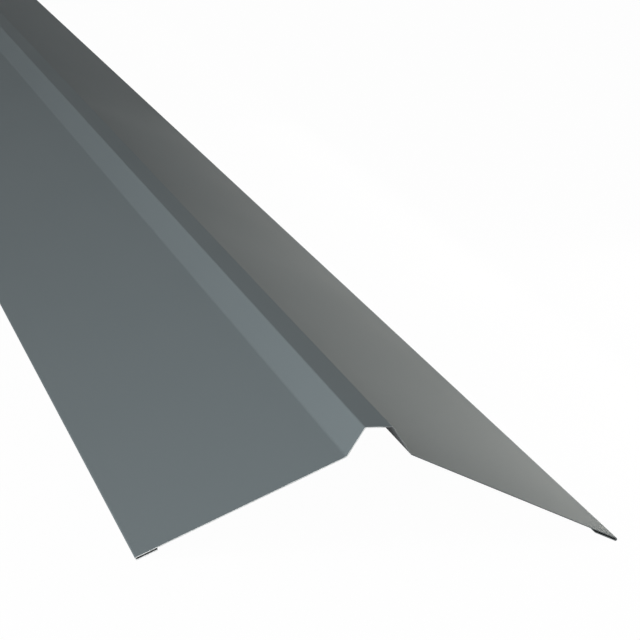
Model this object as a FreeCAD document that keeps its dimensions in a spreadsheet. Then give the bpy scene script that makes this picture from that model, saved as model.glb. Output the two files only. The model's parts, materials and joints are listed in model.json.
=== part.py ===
import FreeCAD, Part
import math
import os
from collections import namedtuple
from enum import IntEnum

import Sketcher

# A roof ridge cap, folded from one strip of coated sheet steel. Its section is an inverted V: two wings
# that fall outward, a raised rib along the middle, and a hem folded under each long edge.
# Width runs along X and length along Y. The cap stands on its two hems at Z = 0, and the origin is
# midway between them and midway along the length.

NODE = "ridge_cap"

# The widths of the rib and the wings are measured on the upper face, between the corners of the bends.
SIZES = [
    ("stock_length", "3000", "mm, length that the cap is sold in"),
    ("sheet_thickness", "0.5", "mm, steel with its coatings"),
    ("rib_top_width", "14", "mm, level"),
    ("rib_wall_width", "17", "mm, sloping, from the rib's top to its foot"),
    ("rib_wall_slope", "57", "degrees below level"),
    ("wing_width", "115", "mm, sloping, from the rib's foot to the outside of the hem"),
    ("wing_slope", "24", "degrees below level"),
    ("shoulder_radius", "0.7", "mm, inside the bends at the rib's top"),
    ("foot_radius", "3", "mm, inside the bends at the rib's foot"),
    ("hem_width", "12", "mm, from the outside of the fold to the cut edge under the wing"),
    ("hem_gap", "0.7", "mm, clear space between the wing and the layer folded under it"),
]
SHOULDER_INSIDE = "Sizes.shoulder_radius"
SHOULDER_OUTSIDE = "(Sizes.shoulder_radius + Sizes.sheet_thickness)"
FOOT_INSIDE = "Sizes.foot_radius"
FOOT_OUTSIDE = "(Sizes.foot_radius + Sizes.sheet_thickness)"
FOLD_INSIDE = "Sizes.hem_gap / 2"
FOLD_OUTSIDE = "(Sizes.hem_gap / 2 + Sizes.sheet_thickness)"

# One bend of the sheet. side is 1 where its centre is below the sheet and -1 where it is above. The
# slopes are those of the flats before and after it, and radii has the formula of each face's radius.
Bend = namedtuple("Bend", "name centre side slope_before slope_after radii")


class Axis(IntEnum):
    """A sketch's numbers for its own axes, which cross at its origin."""

    LEVEL = -1
    UPRIGHT = -2


class Place(IntEnum):
    """A sketch's numbers for the places on a point, a line or an arc."""

    START = 1
    END = 2
    CENTRE = 3


def make_sizes(doc):
    """Spreadsheet of the driving dimensions, one to a row."""
    sheet = doc.addObject("Spreadsheet::Sheet", "Sizes")
    for row, (name, value, meaning) in enumerate(SIZES, start=1):
        sheet.set(f"A{row}", name)
        sheet.set(f"B{row}", value)
        sheet.setAlias(f"B{row}", name)
        sheet.set(f"C{row}", meaning)
    doc.recompute()
    return sheet


def origin_plane(body, role):
    """One of the body's own origin planes."""
    return next(feature for feature in body.Origin.OriginFeatures if feature.Role == role)


def outward(slope):
    """Unit vector along a flat of the right-hand half, away from the rib."""
    angle = math.radians(slope)
    return FreeCAD.Vector(math.cos(angle), -math.sin(angle), 0)


def upward(slope):
    """Unit normal of a flat's upper face."""
    angle = math.radians(slope)
    return FreeCAD.Vector(math.sin(angle), math.cos(angle), 0)


def section_corners(sketch, sheet):
    """Corners of the upper face at the rib's shoulder and foot, and the centre of the hem's fold."""
    fold_radius = sketch.evalExpression(FOLD_OUTSIDE)
    wing = sheet.wing_slope
    shoulder = FreeCAD.Vector(sheet.rib_top_width / 2, 0, 0)
    foot = shoulder + outward(sheet.rib_wall_slope) * sheet.rib_wall_width
    fold = foot + outward(wing) * (sheet.wing_width - fold_radius) - upward(wing) * fold_radius
    lift = FreeCAD.Vector(0, fold_radius - fold.y, 0)
    return shoulder + lift, foot + lift, fold + lift


def section_bends(sketch, sheet):
    """The right-hand half's three bends, from the rib's shoulder to the hem."""
    shoulder, foot, fold = section_corners(sketch, sheet)
    wall, wing = sheet.rib_wall_slope, sheet.wing_slope

    def centre(corner, side, before, after, upper_radius):
        shared = 1 + upward(before).dot(upward(after))
        depth = side * sketch.evalExpression(upper_radius)
        return corner - (upward(before) + upward(after)) * (depth / shared)

    shoulder_centre = centre(shoulder, 1, 0, wall, SHOULDER_OUTSIDE)
    foot_centre = centre(foot, -1, wall, wing, FOOT_INSIDE)
    shoulder_radii = {"upper": SHOULDER_OUTSIDE, "under": SHOULDER_INSIDE}
    foot_radii = {"upper": FOOT_INSIDE, "under": FOOT_OUTSIDE}
    fold_radii = {"upper": FOLD_OUTSIDE, "under": FOLD_INSIDE}
    return [
        Bend("shoulder", shoulder_centre, 1, 0, wall, shoulder_radii),
        Bend("foot", foot_centre, -1, wall, wing, foot_radii),
        Bend("fold", fold, 1, wing, wing + 180, fold_radii),
    ]


def bend_arc(bend, radius):
    """Arc of a bend on the face of the sheet that has this radius, counterclockwise."""
    turned = 0 if bend.side > 0 else math.pi
    slopes = (bend.slope_before, bend.slope_after)
    first, last = sorted(turned + math.pi / 2 - math.radians(slope) for slope in slopes)
    circle = Part.Circle(bend.centre, FreeCAD.Vector(0, 0, 1), radius)
    return Part.ArcOfCircle(circle, first, last)


def constrain(sketch, kind, *places):
    """Adds a constraint that has no size."""
    sketch.addConstraint(Sketcher.Constraint(kind, *places))


def add_dimension(sketch, name, kind, places, formula):
    """Adds a dimension that follows the spreadsheet."""
    index = sketch.addConstraint(Sketcher.Constraint(kind, *places, sketch.evalExpression(formula)))
    sketch.renameConstraint(index, name)
    sketch.setExpression(f"Constraints.{name}", formula)


def draw_face(sketch, bends, face):
    """Draws the upper or under face of the sheet, from the middle of the rib to the cut edge."""
    radii = [sketch.evalExpression(bend.radii[face]) for bend in bends]
    starts = [bend.centre + upward(bend.slope_after) * bend.side * r for bend, r in zip(bends, radii)]
    ends = [bend.centre + upward(bend.slope_before) * bend.side * r for bend, r in zip(bends, radii)]
    starts.insert(0, FreeCAD.Vector(0, ends[0].y, 0))
    return_width = sketch.evalExpression(f"Sizes.hem_width - {FOLD_OUTSIDE}")
    ends.append(starts[-1] + outward(bends[-1].slope_after) * return_width)
    lines = [sketch.addGeometry(Part.LineSegment(start, end)) for start, end in zip(starts, ends)]
    arcs = [sketch.addGeometry(bend_arc(bend, r)) for bend, r in zip(bends, radii)]
    for bend, arc, before, after in zip(bends, arcs, lines, lines[1:]):
        enter, leave = (Place.END, Place.START) if bend.side > 0 else (Place.START, Place.END)
        constrain(sketch, "Tangent", before, Place.END, arc, enter)
        constrain(sketch, "Tangent", arc, leave, after, Place.START)
        add_dimension(sketch, f"{bend.name}_{face}_radius", "Radius", [arc], bend.radii[face])
    return lines, arcs


def join_faces(sketch, upper, under, place):
    """Closes the section with a line from the upper to the under face, at their starts or their ends."""
    ends = [sketch.getPoint(line, place) for line in (upper, under)]
    line = sketch.addGeometry(Part.LineSegment(*ends))
    constrain(sketch, "Coincident", line, Place.START, upper, place)
    constrain(sketch, "Coincident", line, Place.END, under, place)
    return line


def mark_corner(sketch, corner, before, after):
    """Marks the corner where two flats of the upper face would meet without their bend."""
    point = sketch.addGeometry(Part.Point(corner), True)
    constrain(sketch, "PointOnObject", point, Place.START, before)
    constrain(sketch, "PointOnObject", point, Place.START, after)
    return point, Place.START


def draw_section(sketch, sheet):
    """Section of the cap's right-hand half, closed at the middle of the rib."""
    bends = section_bends(sketch, sheet)
    upper, upper_arcs = draw_face(sketch, bends, "upper")
    under, under_arcs = draw_face(sketch, bends, "under")
    join_faces(sketch, upper[0], under[0], Place.START)
    cut_edge = join_faces(sketch, upper[-1], under[-1], Place.END)
    top, wall, wing, hem_return = upper
    constrain(sketch, "Perpendicular", cut_edge, hem_return)
    for face in (upper, under):
        constrain(sketch, "PointOnObject", face[0], Place.START, Axis.UPRIGHT)
        constrain(sketch, "Horizontal", face[0])
        constrain(sketch, "Parallel", face[-1], wing)
    for upper_arc, under_arc in zip(upper_arcs, under_arcs):
        constrain(sketch, "Coincident", upper_arc, Place.CENTRE, under_arc, Place.CENTRE)

    origin = (Axis.LEVEL, Place.START)
    fold_centre = (upper_arcs[-1], Place.CENTRE)
    wing_end = (wing, Place.END)
    shoulder_corner, foot_corner, _ = section_corners(sketch, sheet)
    shoulder = mark_corner(sketch, shoulder_corner, top, wall)
    foot = mark_corner(sketch, foot_corner, wall, wing)
    for name, kind, places, formula in (
        ("half_top", "DistanceX", [*origin, *shoulder], "Sizes.rib_top_width / 2"),
        ("wall_slope", "Angle", [wall], "-Sizes.rib_wall_slope * 1 deg"),
        ("wall_width", "Distance", [*shoulder, *foot], "Sizes.rib_wall_width"),
        ("wing_slope", "Angle", [wing], "-Sizes.wing_slope * 1 deg"),
        ("wing_flat", "Distance", [*foot, *wing_end], f"Sizes.wing_width - {FOLD_OUTSIDE}"),
        ("return_flat", "Distance", [hem_return], f"Sizes.hem_width - {FOLD_OUTSIDE}"),
        ("fold_height", "DistanceY", [*origin, *fold_centre], FOLD_OUTSIDE),
    ):
        add_dimension(sketch, name, kind, places, formula)


def make_ridge_cap(doc, sheet):
    """The folded sheet: half its section along the whole length, mirrored across the middle of the rib."""
    body = doc.addObject("PartDesign::Body", "RidgeCap")
    body.Label = NODE
    section = body.newObject("Sketcher::SketchObject", "HalfSection")
    section.AttachmentSupport = [(origin_plane(body, "XZ_Plane"), "")]
    section.MapMode = "FlatFace"
    draw_section(section, sheet)
    doc.recompute()

    half = body.newObject("PartDesign::Pad", "HalfCap")
    half.Profile = section
    half.SideType = "Symmetric"
    half.setExpression("Length", "Sizes.stock_length")
    doc.recompute()

    whole = body.newObject("PartDesign::Mirrored", "WholeCap")
    whole.Originals = [half]
    whole.MirrorPlane = (origin_plane(body, "YZ_Plane"), [""])
    body.Tip = whole
    doc.recompute()
    return body


def check(doc, bodies):
    """Stops if any object of the document failed or a body has no valid shape."""
    for item in doc.Objects:
        if "Invalid" in item.State or "Error" in item.State:
            raise RuntimeError(f"{item.Label} failed to build: {item.State}")
    for body in bodies:
        if body.Shape.isNull() or not body.Shape.isValid():
            raise RuntimeError(f"{body.Label} has no valid shape")


def main():
    doc = FreeCAD.newDocument("RidgeCap")
    sheet = make_sizes(doc)
    bodies = [make_ridge_cap(doc, sheet)]
    check(doc, bodies)
    os.makedirs("parts", exist_ok=True)
    for body in bodies:
        body.Shape.exportStep(f"parts/{body.Label}.step")


main()
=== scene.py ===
import json
import math
from collections import namedtuple

import bpy
from bpy.props import FloatProperty, FloatVectorProperty, IntProperty, PointerProperty
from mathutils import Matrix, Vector


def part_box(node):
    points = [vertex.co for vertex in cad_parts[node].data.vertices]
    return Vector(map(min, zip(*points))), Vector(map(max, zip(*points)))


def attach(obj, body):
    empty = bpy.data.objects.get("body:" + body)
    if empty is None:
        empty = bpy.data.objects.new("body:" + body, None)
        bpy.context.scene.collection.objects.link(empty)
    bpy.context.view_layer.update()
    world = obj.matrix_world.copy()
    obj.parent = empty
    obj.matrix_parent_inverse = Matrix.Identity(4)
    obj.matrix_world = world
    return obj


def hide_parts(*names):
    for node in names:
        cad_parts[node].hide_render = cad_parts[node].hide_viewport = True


# A roof ridge cap, folded from one strip of coated sheet steel, on a plain pale floor. Width runs along X,
# length along Y, and the cap stands on its two hems at Z = 0.

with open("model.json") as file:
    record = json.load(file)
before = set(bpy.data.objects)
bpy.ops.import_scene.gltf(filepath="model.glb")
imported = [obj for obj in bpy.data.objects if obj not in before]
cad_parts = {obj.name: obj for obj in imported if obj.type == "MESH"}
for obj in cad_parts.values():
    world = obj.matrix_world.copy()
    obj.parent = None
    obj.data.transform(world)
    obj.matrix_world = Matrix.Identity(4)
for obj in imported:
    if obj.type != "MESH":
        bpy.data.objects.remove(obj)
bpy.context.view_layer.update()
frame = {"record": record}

bl_info = {
    "name": "Roof Ridge Cap",
    "version": (1, 0, 0),
    "blender": (4, 5, 0),
    "location": "View3D > Sidebar > Ridge Cap",
    "description": "Folds a coated steel ridge cap for a roof and lights it on a plain floor",
    "category": "Object",
}

NODE = "ridge_cap"
BODY = "root"
PIECE = "RidgeCap_FoldedSheet"

STOCK_LENGTH = (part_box(NODE)[1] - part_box(NODE)[0]).y
PAINT = tuple(frame["record"]["materials"][0]["base_color"])

# One line of the sheet that runs along its whole length: its place on the upper face, the slope of the
# face there, falling toward +X, and its distance round the section from the middle of the rib toward +X.
Line = namedtuple("Line", "x z slope girth")

# The three faces' places in the piece's list of materials.
UPPER, UNDER, CUT = range(3)

# The flat pattern's UV map, and the attribute that runs from 0 on the upper face to 1 on the under face.
FLAT_PATTERN = "FlatPattern"
DEPTH = "depth"

# The roll-over at a cut end: how far back from the cut it starts, in times its depth, and how far the upper
# face's normal leans out over it, as a share of the normal itself.
ROLLOVER_REACH = 2
ROLLOVER_LEAN = 0.45

# Scales of the finishes' patterns, in waves to the metre. The first part of three is round the section, the
# second is along the length and down a cut end, and the third isn't used.
STREAK_SCALE = (160.0, 0.7, 1.0)
CLOUD_SCALE = 7.0
PEEL_SCALE = 600.0
SHEAR_SCALE = (9000.0, 600.0, 1.0)
GRAIN_SCALE = 14000.0

# Share of the streaks in the coating's variation. The clouds have the rest.
STREAK_SHARE = 0.35

# Shares of the depth over which the coating ends and the tear starts. The shear's pattern, times the wander,
# is first added to the depth of the tear.
COATING_END = (0.04, 0.09)
TEAR_START = (0.62, 0.68)
TEAR_WANDER = 0.3

# Painted shade on the right half of the cut, drawn there as coating pulled down over it: the distance over
# which it begins, and over which it thickens at the rib's foot, its cover on the rib and in a scratch, and
# the levels of the shear's pattern between which a scratch ends.
SHADE_FADE = 0.002
RIB_SHADE_COVER = 0.88
SCRATCHED_COVER = 0.96
SCRATCH_LEVELS = (0.25, 0.35)

# Darkest and lightest tone of the cut zinc and of the torn steel, and the tone of the coating on the cut,
# which is darkened as painted shade.
ZINC_TONES = (0.85, 1.1)
TORN_TONES = (0.45, 0.75)
PAINTED_SHADE_TONE = 0.45

# Roughness and metallic share of the bare cut, and of the coating and painted shade over it.
CUT_ROUGHNESS = (0.45, 0.75)
CUT_METALLIC = (0.35, 0.0)

# A lamp: its name, where it hangs, what it points at, its width and height, its power in watts and colour.
Lamp = namedtuple("Lamp", "name place target size power colour")
WHITE = (1.0, 1.0, 1.0)
COOL = (0.92, 0.96, 1.0)
WARM = (1.0, 0.90, 0.82)
LAMPS = (
    Lamp("Front_Left_Softbox", (-1.4, -3.4, 0.5), (-0.05, -1.5, 0.03), (1.2, 0.7), 55.0, WHITE),
    Lamp("Left_Softbox", (-2.0, -2.0, 1.5), (0.0, -1.2, 0.0), (1.6, 1.2), 33.4, COOL),
    Lamp("Left_Long_Strip", (-2.0, 0.0, 0.35), (-0.1, 0.0, 0.02), (3.2, 0.6), 7.8, COOL),
    Lamp("Right_Corner_Strip", (0.45, -1.5, 0.06), (0.1, -1.45, 0.02), (0.5, 0.1), 1.6, WARM),
    Lamp("Right_Strip", (0.42, -1.1, 0.09), (0.1, -1.1, 0.02), (1.0, 0.06), 1.4, WARM),
    Lamp("Right_Edge_Strip_Near", (0.24, -1.2, 0.045), (0.1, -1.2, 0.015), (0.8, 0.03), 0.2, WARM),
    Lamp("Right_Edge_Strip_Middle", (0.24, -0.3, 0.045), (0.1, -0.3, 0.015), (1.0, 0.03), 0.43, WARM),
    Lamp("Right_Edge_Strip_Far", (0.24, 0.8, 0.045), (0.1, 0.8, 0.015), (1.2, 0.03), 0.12, WARM),
    Lamp("Under_Softbox", (0.0, 0.0, -3.0), (0.0, 0.0, 0.0), (3.0, 3.0), 90.0, WHITE),
)


class RidgeCapSizes(bpy.types.PropertyGroup):
    """Widths, slopes and bends of the folded sheet"""

    stock_length: FloatProperty(
        name="Length",
        description="Length that the cap is sold in",
        default=STOCK_LENGTH,
        min=0.1,
        unit="LENGTH",
    )
    sheet_thickness: FloatProperty(
        name="Sheet Thickness",
        description="Thickness of the steel with its coatings",
        default=0.0005,
        min=0.0003,
        max=0.002,
        precision=5,
        unit="LENGTH",
    )
    rib_top_width: FloatProperty(
        name="Rib Top Width",
        description="Width of the flat top of the rib, between the corners of its bends",
        default=0.014,
        min=0.005,
        precision=4,
        unit="LENGTH",
    )
    rib_wall_width: FloatProperty(
        name="Rib Wall Width",
        description="Width of each sloping wall of the rib, between the corners of its bends",
        default=0.017,
        min=0.005,
        precision=4,
        unit="LENGTH",
    )
    rib_wall_slope: FloatProperty(
        name="Rib Wall Slope",
        description="Slope of the walls of the rib, below level",
        default=math.radians(57),
        min=math.radians(30),
        max=math.radians(90),
        subtype="ANGLE",
    )
    wing_width: FloatProperty(
        name="Wing Width",
        description="Width of each wing, from the foot of the rib to the outside of the hem",
        default=0.115,
        min=0.05,
        precision=4,
        unit="LENGTH",
    )
    wing_slope: FloatProperty(
        name="Wing Slope",
        description="Slope of the wings, below level",
        default=math.radians(24),
        min=math.radians(5),
        max=math.radians(45),
        subtype="ANGLE",
    )
    shoulder_radius: FloatProperty(
        name="Shoulder Radius",
        description="Radius inside the bends at the top of the rib",
        default=0.0007,
        min=0.0002,
        precision=5,
        unit="LENGTH",
    )
    foot_radius: FloatProperty(
        name="Foot Radius",
        description="Radius inside the bends at the foot of the rib",
        default=0.003,
        min=0.0002,
        precision=4,
        unit="LENGTH",
    )
    hem_width: FloatProperty(
        name="Hem Width",
        description="Width of the hem folded under each wing, from the outside of the fold to the cut edge",
        default=0.012,
        min=0.004,
        precision=4,
        unit="LENGTH",
    )
    hem_gap: FloatProperty(
        name="Hem Gap",
        description="Clear space between a wing and the layer folded under it",
        default=0.0007,
        min=0.0001,
        precision=5,
        unit="LENGTH",
    )
    rollover: FloatProperty(
        name="Cut Roll-over",
        description="How far the shear blade has rounded down the upper face at the cut ends",
        default=0.00005,
        min=0.0,
        precision=6,
        unit="LENGTH",
    )
    bend_step: FloatProperty(
        name="Bend Step",
        description="Largest turn of the sheet in one face of a bend",
        default=math.radians(5),
        min=math.radians(1),
        max=math.radians(20),
        subtype="ANGLE",
    )
    spans: IntProperty(
        name="Spans",
        description="Number of equal parts along the length",
        default=12,
        min=1,
        max=60,
    )


class RidgeCapFinish(bpy.types.PropertyGroup):
    """Colours and gloss of the coating, the back coat and the cut steel"""

    paint_colour: FloatVectorProperty(
        name="Coating",
        description="Colour of the coating on the weather side",
        default=PAINT,
        size=3,
        min=0.0,
        max=1.0,
        subtype="COLOR",
    )
    paint_roughness: FloatProperty(
        name="Coating Roughness",
        description="Roughness of the coating, from gloss to matt",
        default=0.75,
        min=0.05,
        max=0.95,
        subtype="FACTOR",
    )
    paint_gloss: FloatProperty(
        name="Coating Gloss",
        description="Strength of the coating's reflections",
        default=0.08,
        min=0.0,
        max=1.0,
        subtype="FACTOR",
    )
    back_colour: FloatVectorProperty(
        name="Back Coat",
        description="Colour of the thin coat on the underside",
        default=(0.090, 0.095, 0.097),
        size=3,
        min=0.0,
        max=1.0,
        subtype="COLOR",
    )
    steel_colour: FloatVectorProperty(
        name="Cut Steel",
        description="Colour of freshly cut steel with zinc drawn over it",
        default=(0.62, 0.64, 0.64),
        size=3,
        min=0.0,
        max=1.0,
        subtype="COLOR",
    )
    # Across the width, the cut right of this place is painted dark, as painted shade.
    painted_shade_from: FloatProperty(
        name="Drawn Coating From",
        description="Place across the width from where the blade has drawn the coating down over the cut",
        default=0.0015,
        precision=4,
        unit="LENGTH",
    )


class RidgeCapStage(bpy.types.PropertyGroup):
    """Camera, floor and light"""

    lens: FloatProperty(
        name="Focal Length",
        description="Focal length of the camera",
        default=217.33,
        min=20,
        unit="CAMERA",
    )
    camera_place: FloatVectorProperty(
        name="Camera Place",
        description="Where the camera stands",
        default=(-0.3428, -3.3272, 0.4434),
        size=3,
        subtype="TRANSLATION",
        unit="LENGTH",
    )
    camera_tilt: FloatProperty(
        name="Camera Tilt",
        description="How far the camera looks down from level",
        default=math.radians(10.004),
        subtype="ANGLE",
    )
    camera_heading: FloatProperty(
        name="Camera Heading",
        description="How far the camera looks to the right of the length of the cap",
        default=math.radians(9.732),
        subtype="ANGLE",
    )
    floor_radius: FloatProperty(
        name="Floor Radius",
        description="Radius of the round floor",
        default=60.0,
        min=5.0,
        unit="LENGTH",
    )
    floor_white: FloatProperty(
        name="Floor White",
        description="Share of plain white in the floor as it is seen. The rest shows the shadow",
        default=0.98,
        min=0.0,
        max=1.0,
        subtype="FACTOR",
    )
    room_light: FloatProperty(
        name="Room Light",
        description="Strength of the light that comes from all round",
        default=0.15,
        min=0.0,
        max=2.0,
    )


class SheetPath:
    """Walks outward along the upper face from the middle of the rib, and notes a line at each end of a flat
    and at every step of a bend."""

    def __init__(self, bend_step):
        self.bend_step = bend_step
        self.lines = [Line(0.0, 0.0, 0.0, 0.0)]
        self.lowest = 0.0

    def flat(self, width):
        """A flat of this width, in the direction that the sheet has reached."""
        if width <= 0:
            raise RuntimeError("the bends are too large for the flats between them")
        x, z, slope, girth = self.lines[-1]
        self.lines.append(
            Line(x + width * math.cos(slope), z - width * math.sin(slope), slope, girth + width)
        )

    def bend(self, turn, radius):
        """A bend through this angle, downward where it is positive, with this radius on the upper face."""
        x, z, slope, girth = self.lines[-1]
        side = math.copysign(1.0, turn)
        centre_x = x - side * radius * math.sin(slope)
        centre_z = z - side * radius * math.cos(slope)
        steps = math.ceil(abs(turn) / self.bend_step)
        for step in range(1, steps + 1):
            now = slope + turn * step / steps
            walked = girth + abs(turn) * radius * step / steps
            self.lines.append(
                Line(
                    centre_x + side * radius * math.sin(now),
                    centre_z + side * radius * math.cos(now),
                    now,
                    walked,
                )
            )
        if side > 0:
            self.lowest = min(self.lowest, centre_z - radius)


def fold_half(sizes):
    """Lines of the right-hand half of the sheet, with the bottom of its hem at Z = 0."""
    shoulder = sizes.shoulder_radius + sizes.sheet_thickness
    fold = sizes.hem_gap / 2 + sizes.sheet_thickness
    foot_turn = sizes.rib_wall_slope - sizes.wing_slope
    shoulder_setback = shoulder * math.tan(sizes.rib_wall_slope / 2)
    foot_setback = sizes.foot_radius * math.tan(foot_turn / 2)
    path = SheetPath(sizes.bend_step)
    path.flat(sizes.rib_top_width / 2 - shoulder_setback)
    path.bend(sizes.rib_wall_slope, shoulder)
    path.flat(sizes.rib_wall_width - shoulder_setback - foot_setback)
    path.bend(-foot_turn, sizes.foot_radius)
    path.flat(sizes.wing_width - foot_setback - fold)
    path.bend(math.pi, fold)
    path.flat(sizes.hem_width - fold)
    return [line._replace(z=line.z - path.lowest) for line in path.lines]


def fold_whole(sizes):
    """Lines of the whole sheet, from the left hem's cut edge over the rib to the right hem's."""
    right = fold_half(sizes)
    left = [Line(-x, z, -slope, -girth) for x, z, slope, girth in reversed(right[1:])]
    return left + right


def cut_rings(sizes):
    """Places along the length with the roll-over there: the cut ends, the line behind each and the spans."""
    half = sizes.stock_length / 2
    inner = half - ROLLOVER_REACH * sizes.rollover
    between = [half * (2 * span / sizes.spans - 1) for span in range(1, sizes.spans)]
    flat = [-inner, *between, inner]
    return [(-half, sizes.rollover), *((y, 0.0) for y in flat), (half, sizes.rollover)]


def fold_sheet(sizes):
    """Mesh of the folded sheet, with its cut faces, material places, flat pattern and exact normals."""
    lines = fold_whole(sizes)
    rings = cut_rings(sizes)
    thickness = sizes.sheet_thickness
    count = len(lines)
    ups = [Vector((math.sin(line.slope), 0.0, math.cos(line.slope))) for line in lines]
    points = []
    for y, rolled in rings:
        for line, up in zip(lines, ups):
            on_face = Vector((line.x, y, line.z))
            points += [on_face - up * rolled, on_face - up * thickness]

    def point(ring, line, face):
        return (ring * count + line) * 2 + face

    faces, places, normals, pattern = [], [], [], []

    def add(corners, place, corner_normals):
        faces.append([point(*corner) for corner in corners])
        places.append(place)
        normals.extend(corner_normals)
        pattern.extend((lines[line].girth, rings[ring][0] + face * thickness) for ring, line, face in corners)

    last_ring, last_line = len(rings) - 1, count - 1
    lean = {0: Vector((0.0, -ROLLOVER_LEAN, 0.0)), last_ring: Vector((0.0, ROLLOVER_LEAN, 0.0))}
    for ring in range(last_ring):
        for line in range(last_line):
            across = [(ring, line), (ring, line + 1), (ring + 1, line + 1), (ring + 1, line)]
            upper = [(ups[i] + lean.get(r, Vector())).normalized() for r, i in across]
            add([(r, i, 0) for r, i in across], UPPER, upper)
            add([(r, i, 1) for r, i in reversed(across)], UNDER, [-ups[i] for _, i in reversed(across)])
        for line, turned in ((0, False), (last_line, True)):
            edge = [(ring, line, 1), (ring, line, 0), (ring + 1, line, 0), (ring + 1, line, 1)]
            outward = Vector((-ups[line].z, 0.0, ups[line].x)) * (-1 if turned else 1)
            add(edge[::-1] if turned else edge, CUT, [outward] * 4)
    for ring, facing in ((0, -1), (last_ring, 1)):
        for line in range(last_line):
            end = [(ring, line, 0), (ring, line, 1), (ring, line + 1, 1), (ring, line + 1, 0)]
            add(end if facing < 0 else end[::-1], CUT, [Vector((0.0, facing, 0.0))] * 4)
    return sheet_mesh(points, faces, places, pattern, normals)


def sheet_mesh(points, faces, places, pattern, normals):
    """Mesh of points that are on the upper and the under face by turns, with what the materials read."""
    mesh = bpy.data.meshes.new(PIECE)
    mesh.from_pydata(points, [], faces)
    mesh.polygons.foreach_set("material_index", places)
    flat_pattern = mesh.uv_layers.new(name=FLAT_PATTERN)
    flat_pattern.data.foreach_set("uv", [value for pair in pattern for value in pair])
    depth = mesh.attributes.new(DEPTH, "FLOAT", "POINT")
    depth.data.foreach_set("value", [index % 2 for index in range(len(points))])
    mesh.shade_smooth()
    mesh.normals_split_custom_set(normals)
    return mesh


class Board:
    """Puts shader nodes on one node tree and joins them."""

    def __init__(self, tree):
        tree.nodes.clear()
        self.tree = tree

    def put(self, kind, settings=None, **inputs):
        """A node with its settings and input values. An input that is another node's socket is joined."""
        node = self.tree.nodes.new(kind)
        for name, value in (settings or {}).items():
            setattr(node, name, value)
        for name, value in inputs.items():
            self.feed(self.socket(node, name), value)
        return node

    def feed(self, socket, value):
        """Joins another node's socket to this input, or sets the input to a value."""
        if isinstance(value, bpy.types.NodeSocket):
            self.tree.links.new(value, socket)
        else:
            socket.default_value = value

    def socket(self, node, name):
        """The node's free input that answers to this name, with _ for a space."""
        wanted = name.replace("_", " ")
        for socket in node.inputs:
            if socket.enabled and (socket.name == wanted or socket.identifier == name):
                return socket
        raise RuntimeError(f"{node.bl_idname} has no input named {wanted}")

    def sum_up(self, operation, *values):
        """Result of one step of arithmetic."""
        inputs = dict(zip(("Value", "Value_001", "Value_002"), values))
        return self.put("ShaderNodeMath", {"operation": operation}, **inputs).outputs["Value"]

    def scaled(self, vector, by):
        """A vector with each part multiplied."""
        settings = {"operation": "MULTIPLY"}
        return self.put("ShaderNodeVectorMath", settings, Vector=vector, Vector_001=by).outputs["Vector"]

    def noise(self, vector, scale, detail, roughness):
        """Soft noise at this scale."""
        noise = self.put("ShaderNodeTexNoise", Vector=vector, Scale=scale, Detail=detail, Roughness=roughness)
        return noise.outputs["Fac"]

    def graded(self, value, first, last, low, high):
        """A value mapped from one range to another, and held at its ends."""
        grade = self.put(
            "ShaderNodeMapRange", Value=value, From_Min=first, From_Max=last, To_Min=low, To_Max=high
        )
        return grade.outputs["Result"]

    def mixed(self, share, first, second):
        """Two colours mixed, all of the second where the share is 1."""
        mix = self.put("ShaderNodeMix", {"data_type": "RGBA"})
        for name, value in (("Factor_Float", share), ("A_Color", first), ("B_Color", second)):
            self.feed(next(each for each in mix.inputs if each.identifier == name), value)
        return next(each for each in mix.outputs if each.identifier == "Result_Color")


def new_material(name):
    """A material with an empty board to lay its nodes on."""
    material = bpy.data.materials.new(name)
    material.use_nodes = True
    return material, Board(material.node_tree)


def new_group(name, inputs, outputs):
    """A node group with these sockets, and an empty board to lay its nodes on."""
    group = bpy.data.node_groups.new(name, "ShaderNodeTree")
    for label, kind, default in inputs:
        group.interface.new_socket(label, in_out="INPUT", socket_type=kind).default_value = default
    for label, kind in outputs:
        group.interface.new_socket(label, in_out="OUTPUT", socket_type=kind)
    return group, Board(group)


def coating_group():
    """Node group of a roller-coated face: colour with faint rolling streaks and clouds, roughness that
    follows them, and the height of its orange peel."""
    name = "Roller Coating"
    if name in bpy.data.node_groups:
        return bpy.data.node_groups[name]
    group, board = new_group(
        name,
        (
            ("Colour", "NodeSocketColor", (0.5, 0.5, 0.5, 1.0)),
            ("Variation", "NodeSocketFloat", 0.08),
            ("Smooth", "NodeSocketFloat", 0.5),
            ("Matt", "NodeSocketFloat", 0.6),
            ("Peel Scale", "NodeSocketFloat", PEEL_SCALE),
        ),
        (("Colour", "NodeSocketColor"), ("Roughness", "NodeSocketFloat"), ("Height", "NodeSocketFloat")),
    )
    given = board.put("NodeGroupInput").outputs
    pattern = board.put("ShaderNodeUVMap", {"uv_map": FLAT_PATTERN}).outputs["UV"]
    place = board.put("ShaderNodeTexCoord").outputs["Object"]
    streaks = board.noise(board.scaled(pattern, STREAK_SCALE), scale=1.0, detail=3.0, roughness=0.6)
    clouds = board.noise(place, CLOUD_SCALE, detail=2.0, roughness=0.45)
    peel = board.noise(place, given["Peel Scale"], detail=1.5, roughness=0.5)
    streak_part = board.sum_up("MULTIPLY", streaks, STREAK_SHARE)
    cloud_part = board.sum_up("MULTIPLY", clouds, 1 - STREAK_SHARE)
    cover = board.sum_up("ADD", streak_part, cloud_part)
    swing = board.sum_up("MULTIPLY_ADD", board.sum_up("SUBTRACT", cover, 0.5), given["Variation"], 1.0)
    tinted = board.put(
        "ShaderNodeVectorMath", {"operation": "SCALE"}, Vector=given["Colour"], Scale=swing
    ).outputs["Vector"]
    roughness = board.graded(cover, first=0.25, last=0.75, low=given["Smooth"], high=given["Matt"])
    board.put("NodeGroupOutput", None, Colour=tinted, Roughness=roughness, Height=peel)
    return group


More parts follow.
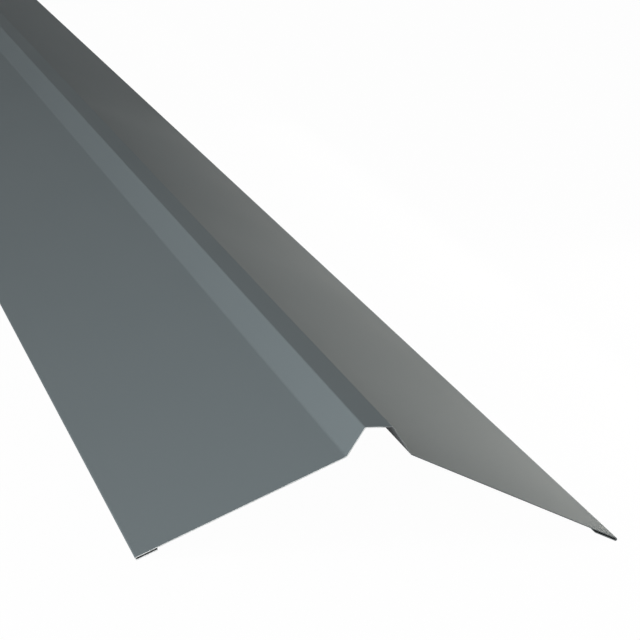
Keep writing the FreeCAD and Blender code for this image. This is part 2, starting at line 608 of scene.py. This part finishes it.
def coated_material(name, colour, variation, smooth, matt, peel_height, gloss):
    """Material of a coated face, with its roughness between smooth and matt and its peel in metres."""
    material, board = new_material(name)
    coating = board.put(
        "ShaderNodeGroup", {"node_tree": coating_group()},
        Colour=(*colour, 1.0), Variation=variation, Smooth=smooth, Matt=matt, Peel_Scale=PEEL_SCALE,
    ).outputs
    peel = board.put("ShaderNodeBump", Strength=1.0, Distance=peel_height, Height=coating["Height"])
    skin = board.put(
        "ShaderNodeBsdfPrincipled", None,
        Base_Color=coating["Colour"], Roughness=coating["Roughness"], Specular_IOR_Level=gloss,
        Normal=peel.outputs["Normal"],
    )
    board.put("ShaderNodeOutputMaterial", Surface=skin.outputs["BSDF"])
    return material


def tone(colour, share):
    """A colour made darker or lighter, with its alpha."""
    return (*(min(1.0, part * share) for part in colour), 1.0)


def cut_steel_material(finish, sizes):
    """Material of the cut ends and edges. Under the coating lies a smooth band where the blade has cut and
    drawn the zinc down, and below it the grey torn band. The right half carries painted shade: there both
    are covered with a dark copy of the coating's colour, drawn as coating pulled down over the cut, with a
    little less of it on the rib than on the wing."""
    material, board = new_material("Cut_Steel")
    pattern = board.put("ShaderNodeUVMap", {"uv_map": FLAT_PATTERN}).outputs["UV"]
    place = board.put("ShaderNodeTexCoord").outputs["Object"]
    across = board.put("ShaderNodeSeparateXYZ", Vector=place).outputs["X"]
    girth = board.put("ShaderNodeSeparateXYZ", Vector=pattern).outputs["X"]
    depth = board.put("ShaderNodeAttribute", {"attribute_name": DEPTH}).outputs["Fac"]
    shear = board.noise(board.scaled(pattern, SHEAR_SCALE), scale=1.0, detail=3.0, roughness=0.6)
    grain = board.noise(place, GRAIN_SCALE, detail=2.0, roughness=0.6)

    tear = board.graded(board.sum_up("MULTIPLY_ADD", shear, TEAR_WANDER, depth), *TEAR_START, 0.0, 1.0)
    cut_zinc = board.mixed(shear, *(tone(finish.steel_colour, share) for share in ZINC_TONES))
    torn_steel = board.mixed(grain, *(tone(finish.steel_colour, share) for share in TORN_TONES))
    bare = board.mixed(tear, cut_zinc, torn_steel)

    coat = board.graded(depth, *COATING_END, 1.0, 0.0)
    # Painted shade: right of the given place across the width, the cut is painted with a dark copy of the
    # coating's colour, a little less of it on the rib than on the wing.
    frayed = board.sum_up("MULTIPLY_ADD", shear, SHADE_FADE, across)
    drawn = board.graded(frayed, finish.painted_shade_from, finish.painted_shade_from + SHADE_FADE, 0.0, 1.0)
    rib_end = sizes.rib_top_width / 2 + sizes.rib_wall_width
    thin = board.graded(girth, rib_end - SHADE_FADE, rib_end, RIB_SHADE_COVER, 1.0)
    scratched = board.graded(shear, *SCRATCH_LEVELS, SCRATCHED_COVER, 1.0)
    unbroken = board.sum_up("MULTIPLY", thin, scratched)
    coat_and_painted_shade = board.sum_up("MAXIMUM", coat, board.sum_up("MULTIPLY", drawn, unbroken))
    colour = board.mixed(coat_and_painted_shade, bare, tone(finish.paint_colour, PAINTED_SHADE_TONE))
    steel = board.put(
        "ShaderNodeBsdfPrincipled", None,
        Base_Color=colour, Roughness=board.graded(coat_and_painted_shade, 0.0, 1.0, *CUT_ROUGHNESS),
        Metallic=board.graded(coat_and_painted_shade, 0.0, 1.0, *CUT_METALLIC),
    )
    board.put("ShaderNodeOutputMaterial", Surface=steel.outputs["BSDF"])
    return material


def background_rays(board):
    """1 for the rays that show the background: the camera's, and those of gloss and glass."""
    path = board.put("ShaderNodeLightPath").outputs
    seen = board.sum_up("MAXIMUM", path["Is Camera Ray"], path["Is Glossy Ray"])
    return board.sum_up("MAXIMUM", seen, path["Is Transmission Ray"])


def floor_material(white_share):
    """Pale floor that shows as white and keeps a faint shadow of the cap. From below it is clear, and it
    lets the light of the lamp under it through to the underside of the cap."""
    material, board = new_material("Pale_Floor")
    shown = board.sum_up("MULTIPLY", background_rays(board), white_share)
    matt = board.put("ShaderNodeBsdfDiffuse", Color=(0.8, 0.8, 0.8, 1.0))
    white = board.put("ShaderNodeEmission", Color=(1.0, 1.0, 1.0, 1.0), Strength=1.0)
    clear = board.put("ShaderNodeBsdfTransparent")
    below = board.put("ShaderNodeNewGeometry").outputs["Backfacing"]
    lit_through = board.put("ShaderNodeLightPath").outputs["Is Shadow Ray"]
    top = board.put("ShaderNodeMixShader", None, Fac=shown)
    sides = board.put("ShaderNodeMixShader", None, Fac=board.sum_up("MAXIMUM", below, lit_through))
    for shader, mix, slot in ((matt, top, 1), (white, top, 2), (top, sides, 1), (clear, sides, 2)):
        board.tree.links.new(shader.outputs[0], mix.inputs[slot])
    board.put("ShaderNodeOutputMaterial", Surface=sides.outputs["Shader"])
    return material


def make_floor(stage):
    """Round floor at the level that the hems rest on."""
    corners = 96
    turns = [2 * math.pi * corner / corners for corner in range(corners)]
    rim = [(stage.floor_radius * math.cos(turn), stage.floor_radius * math.sin(turn), 0.0) for turn in turns]
    mesh = bpy.data.meshes.new("Floor")
    mesh.from_pydata(rim, [], [list(range(corners))])
    mesh.materials.append(floor_material(stage.floor_white))
    floor = bpy.data.objects.new("Floor", mesh)
    bpy.context.scene.collection.objects.link(floor)


def hang_lamp(lamp):
    """A soft oblong lamp that points at its target and stays out of the camera's sight."""
    light = bpy.data.lights.new(lamp.name, "AREA")
    light.shape = "RECTANGLE"
    light.size, light.size_y = lamp.size
    light.energy = lamp.power
    light.color = lamp.colour
    item = bpy.data.objects.new(lamp.name, light)
    item.location = lamp.place
    item.rotation_euler = (Vector(lamp.target) - Vector(lamp.place)).to_track_quat("-Z", "Y").to_euler()
    item.visible_camera = False
    bpy.context.scene.collection.objects.link(item)


def light_room(strength):
    """Even light from all round, behind a white background."""
    world = bpy.data.worlds.new("Studio_Room")
    world.use_nodes = True
    board = Board(world.node_tree)
    level = board.graded(background_rays(board), 0.0, 1.0, strength, 1.0)
    light = board.put("ShaderNodeBackground", Color=(1.0, 1.0, 1.0, 1.0), Strength=level)
    board.put("ShaderNodeOutputWorld", Surface=light.outputs["Background"])
    bpy.context.scene.world = world


def place_camera(stage):
    """Camera at the photograph's viewing angle."""
    camera = bpy.data.cameras.new("Camera")
    camera.sensor_width = 36.0
    camera.lens = stage.lens
    item = bpy.data.objects.new("Camera", camera)
    item.location = stage.camera_place
    item.rotation_euler = (math.pi / 2 - stage.camera_tilt, 0.0, -stage.camera_heading)
    bpy.context.scene.collection.objects.link(item)
    bpy.context.scene.camera = item


class RIDGECAP_OT_fold_sheet(bpy.types.Operator):
    """Fold the ridge cap from one coated sheet"""

    bl_idname = "ridge_cap.fold_sheet"
    bl_label = "Fold Ridge Cap"

    def execute(self, context):
        sizes, finish = context.scene.ridge_cap_sizes, context.scene.ridge_cap_finish
        mesh = fold_sheet(sizes)
        rough = finish.paint_roughness
        for material in (
            coated_material(
                "Blue_Grey_Coating", finish.paint_colour, variation=0.08,
                smooth=rough - 0.04, matt=rough + 0.04, peel_height=0.000003, gloss=finish.paint_gloss,
            ),
            coated_material(
                "Back_Coat", finish.back_colour, variation=0.2,
                smooth=0.8, matt=0.95, peel_height=0.00001, gloss=0.0,
            ),
            cut_steel_material(finish, sizes),
        ):
            mesh.materials.append(material)
        piece = bpy.data.objects.new(PIECE, mesh)
        context.scene.collection.objects.link(piece)
        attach(piece, BODY)
        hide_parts(NODE)
        return {"FINISHED"}


class RIDGECAP_OT_set_stage(bpy.types.Operator):
    """Set the floor, the lamps and the camera"""

    bl_idname = "ridge_cap.set_stage"
    bl_label = "Set Stage"

    def execute(self, context):
        stage = context.scene.ridge_cap_stage
        context.scene.view_settings.view_transform = "Standard"
        make_floor(stage)
        light_room(stage.room_light)
        for lamp in LAMPS:
            hang_lamp(lamp)
        place_camera(stage)
        return {"FINISHED"}


class RIDGECAP_PT_sidebar(bpy.types.Panel):
    """Sizes and finish of the ridge cap"""

    bl_idname = "RIDGECAP_PT_sidebar"
    bl_label = "Ridge Cap"
    bl_space_type = "VIEW_3D"
    bl_region_type = "UI"
    bl_category = "Ridge Cap"

    def draw(self, context):
        scene = context.scene
        for group in (scene.ridge_cap_sizes, scene.ridge_cap_finish):
            for name in group.__annotations__:
                self.layout.prop(group, name)
        self.layout.operator(RIDGECAP_OT_fold_sheet.bl_idname)
        for name in scene.ridge_cap_stage.__annotations__:
            self.layout.prop(scene.ridge_cap_stage, name)
        self.layout.operator(RIDGECAP_OT_set_stage.bl_idname)


CLASSES = (
    RidgeCapSizes,
    RidgeCapFinish,
    RidgeCapStage,
    RIDGECAP_OT_fold_sheet,
    RIDGECAP_OT_set_stage,
    RIDGECAP_PT_sidebar,
)
SETTINGS = {
    "ridge_cap_sizes": RidgeCapSizes,
    "ridge_cap_finish": RidgeCapFinish,
    "ridge_cap_stage": RidgeCapStage,
}


def register():
    for each in CLASSES:
        bpy.utils.register_class(each)
    for name, group in SETTINGS.items():
        setattr(bpy.types.Scene, name, PointerProperty(type=group))


def unregister():
    for name in SETTINGS:
        delattr(bpy.types.Scene, name)
    for each in reversed(CLASSES):
        bpy.utils.unregister_class(each)


def main():
    register()
    bpy.ops.ridge_cap.fold_sheet()
    bpy.ops.ridge_cap.set_stage()


if __name__ == "__main__":
    main()
